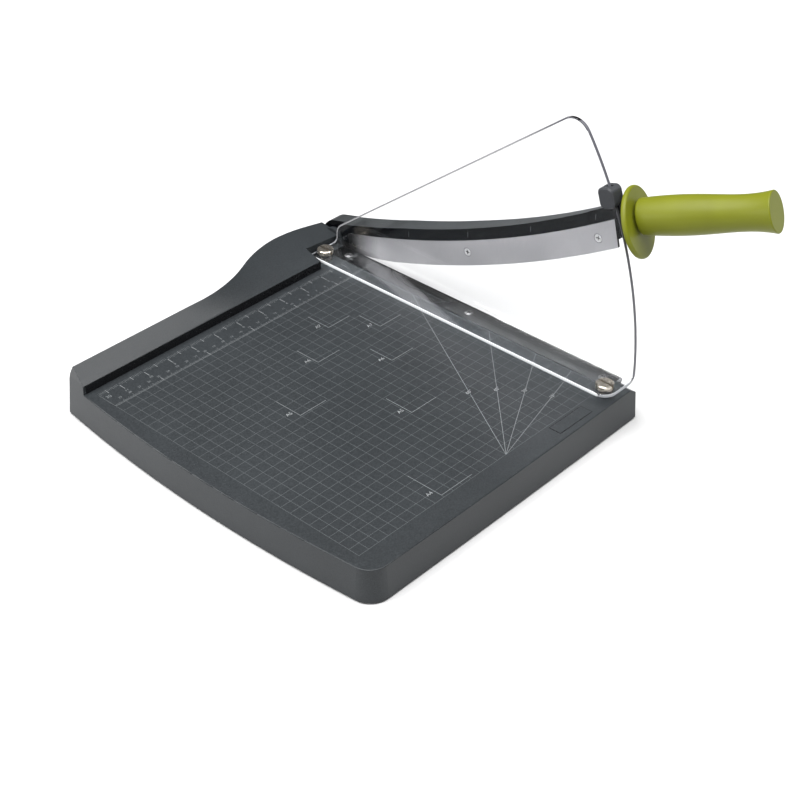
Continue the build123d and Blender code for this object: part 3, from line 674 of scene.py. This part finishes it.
ARM_MARK_YS = (-70.3, -138.1, -204.7, -268.1)
ARM_MARK_LENGTH = 5.0
ARM_MARK_WIDTH = 0.3
ARM_MARK_RISE = 0.02


def print_arm_marks():
    """Four faint upright lines on the arm's lip."""
    across = ARM_MARK_WIDTH / 2
    up = ARM_MARK_LENGTH / 2
    work = bmesh.new()
    for y in ARM_MARK_YS:
        z = LIP_ARC_CENTRE.y - math.sqrt(LIP_ARC_RADIUS**2 - (y - LIP_ARC_CENTRE.x) ** 2)
        corners = ((y + across, z - up), (y - across, z - up), (y - across, z + up), (y + across, z + up))
        work.faces.new([work.verts.new(at(LIP_FACE_X - ARM_MARK_RISE, *corner)) for corner in corners])
    piece("arm_marks", finished_mesh("arm_marks", work), ink, "cutting_arm")


# ---- Line in the guard's upper edge --------------------------------------------------------------

EDGE_LINE_WIDTH = 1.0
EDGE_LINE_INSET = 0.35
EDGE_LINE_RISE = 0.01
EDGE_LINE_FOOT = 13


def rounded_corner(before, corner, after, radius, steps=10):
    """Points along a corner between two straight lines, rounded to the given radius."""
    back = (before - corner).normalized()
    ahead = (after - corner).normalized()
    half_angle = back.angle(ahead) / 2
    reach = radius / math.tan(half_angle)
    start = corner + back * reach
    end = corner + ahead * reach
    centre = corner + (back + ahead).normalized() * radius / math.sin(half_angle)
    first = (start - centre).normalized()
    last = (end - centre).normalized()
    return [centre + first.slerp(last, step / steps) * radius for step in range(steps + 1)]


def guard_edge_line():
    """Line of bent light in the polished edge along the guard's slope and round its two corners."""
    foot = GUARD_REAR - Vector((0, EDGE_LINE_FOOT))
    outline = [foot]
    outline += rounded_corner(foot, GUARD_REAR, GUARD_PEAK, GUARD_REAR_RADIUS)
    outline += rounded_corner(GUARD_REAR, GUARD_PEAK, PAST_PEAK, GUARD_PEAK_RADIUS)
    line_x = GUARD_PLATE_LEFT_X - EDGE_LINE_RISE
    work = bmesh.new()
    rows = []
    for index, point in enumerate(outline):
        ahead = outline[min(index + 1, len(outline) - 1)] - outline[max(index - 1, 0)]
        inwards = Vector((-ahead.y, ahead.x)).normalized()
        if inwards.y > 0:
            inwards = -inwards
        outer = point + inwards * EDGE_LINE_INSET
        inner = outer + inwards * EDGE_LINE_WIDTH
        rows.append([work.verts.new(at(line_x, y, z)) for y, z in (outer, inner)])
    for low, high in zip(rows, rows[1:]):
        work.faces.new((low[0], low[1], high[1], high[0]))
    piece("guard_edge_line", finished_mesh("guard_edge_line", work), painted_edge_light, "base")


# ---- Fence face and blank label plate ------------------------------------------------------------

FENCE_FACE = ((-305.3, -0.3, 0.05), (-41.2, 0.1, 7.9))
LABEL_PLATE = ((-91.5, -314.2, 0.0), (-51.5, -302.4, 0.1))
LABEL_FACE = ((-90.9, -313.6, 0.05), (-52.1, -303.0, 0.14))
FENCE_BEVEL = 0.1 * MM
LABEL_BEVEL = 0.04 * MM


def bevelled_box(name, corners, bevel, material):
    """Closed box on the base between two corners, with its edges rounded off."""
    low, high = (at(*corner) for corner in corners)
    work = bmesh.new()
    bmesh.ops.create_cube(work, size=1.0)
    bmesh.ops.scale(work, vec=high - low, verts=work.verts)
    bmesh.ops.translate(work, vec=(low + high) / 2, verts=work.verts)
    bmesh.ops.bevel(work, geom=work.edges[:], offset=bevel, segments=3, profile=0.5, affect="EDGES")
    piece(name, finished_mesh(name, work), material, "base")


# ---- Floor, light and camera ---------------------------------------------------------------------

FLOOR_HALF = 6.0
WORLD_STRENGTH = 0.15

CAMERA_AZIMUTH = -46.52
CAMERA_ELEVATION = 35.23
CAMERA_ROLL = -0.636
CAMERA_DISTANCE = 1.3352
CAMERA_TARGET = at(-141.91, -191.48, 0)
CAMERA_LENS = 75.53
CAMERA_SENSOR = 36


def build_floor():
    """Pale floor, a quad with the part at its middle."""
    work = bmesh.new()
    signs = ((-1, -1), (1, -1), (1, 1), (-1, 1))
    work.faces.new([work.verts.new((x * FLOOR_HALF, y * FLOOR_HALF, 0.0)) for x, y in signs])
    mesh = finished_mesh("floor", work)
    floor = bpy.data.objects.new("floor", mesh)
    bpy.context.collection.objects.link(floor)
    shader = Shader("floor_paper", FLOOR_WHITE, 0.6)
    tooth = shader.noise(3 * MM, 3.0)
    shader.drive("Roughness", shader.spread(tooth, 0.55, 0.7))
    mesh.materials.append(shader.material)


def softbox(name, place, target, size, watts):
    """Rectangular light at a place, turned towards a target."""
    light = bpy.data.lights.new(name, "AREA")
    light.shape = "RECTANGLE"
    light.size, light.size_y = size
    light.energy = watts
    obj = bpy.data.objects.new(name, light)
    obj.location = place
    obj.rotation_euler = (Vector(target) - Vector(place)).to_track_quat("-Z", "Y").to_euler()
    bpy.context.collection.objects.link(obj)


def build_light():
    """Dim white surroundings, a large light overhead, and two that gleam on the walls and the rail."""
    world = bpy.data.worlds.new("studio")
    world.use_nodes = True
    background = world.node_tree.nodes["Background"]
    background.inputs["Color"].default_value = (1.0, 1.0, 1.0, 1.0)
    background.inputs["Strength"].default_value = WORLD_STRENGTH
    bpy.context.scene.world = world
    softbox("overhead", place=(-0.6, 0.1, 2.6), target=(-0.1, 0.1, 0), size=(3.2, 3.2), watts=208)
    softbox("left_softbox", place=(-1.7, 0.7, 0.6), target=at(-320, 0, 0), size=(1.0, 0.8), watts=13)
    softbox("right_softbox", place=at(740, -1211, 1523), target=at(-290, 10, 14), size=(0.6, 0.6), watts=14)


def build_camera():
    """Camera on a sphere round its target, turned a little about its own line of sight."""
    azimuth = math.radians(CAMERA_AZIMUTH)
    elevation = math.radians(CAMERA_ELEVATION)
    roll = math.radians(CAMERA_ROLL)
    level_back = Vector((math.sin(azimuth), -math.cos(azimuth), 0))
    back = level_back * math.cos(elevation) + Vector((0, 0, math.sin(elevation)))
    right = Vector((math.cos(azimuth), math.sin(azimuth), 0))
    up = back.cross(right)
    turned_right = right * math.cos(roll) + up * math.sin(roll)
    turned_up = up * math.cos(roll) - right * math.sin(roll)
    data = bpy.data.cameras.new("camera")
    data.lens = CAMERA_LENS
    data.sensor_width = CAMERA_SENSOR
    data.clip_start = 0.01
    camera = bpy.data.objects.new("camera", data)
    turn = Matrix((turned_right, turned_up, back)).transposed().to_4x4()
    camera.matrix_world = Matrix.Translation(CAMERA_TARGET + back * CAMERA_DISTANCE) @ turn
    bpy.context.collection.objects.link(camera)
    bpy.context.scene.camera = camera


# ---- Build ---------------------------------------------------------------------------------------

print_grid()
print_rulers()
print_paper_sizes()
print_angles()
print_arm_marks()
guard_edge_line()
bevelled_box("fence_face", FENCE_FACE, FENCE_BEVEL, gloss_black)
bevelled_box("label_plate", LABEL_PLATE, LABEL_BEVEL, gloss_black)
bevelled_box("label_face", LABEL_FACE, LABEL_BEVEL, body_plastic)
build_floor()
build_light()
build_camera()
bpy.context.scene.view_settings.view_transform = "Standard"
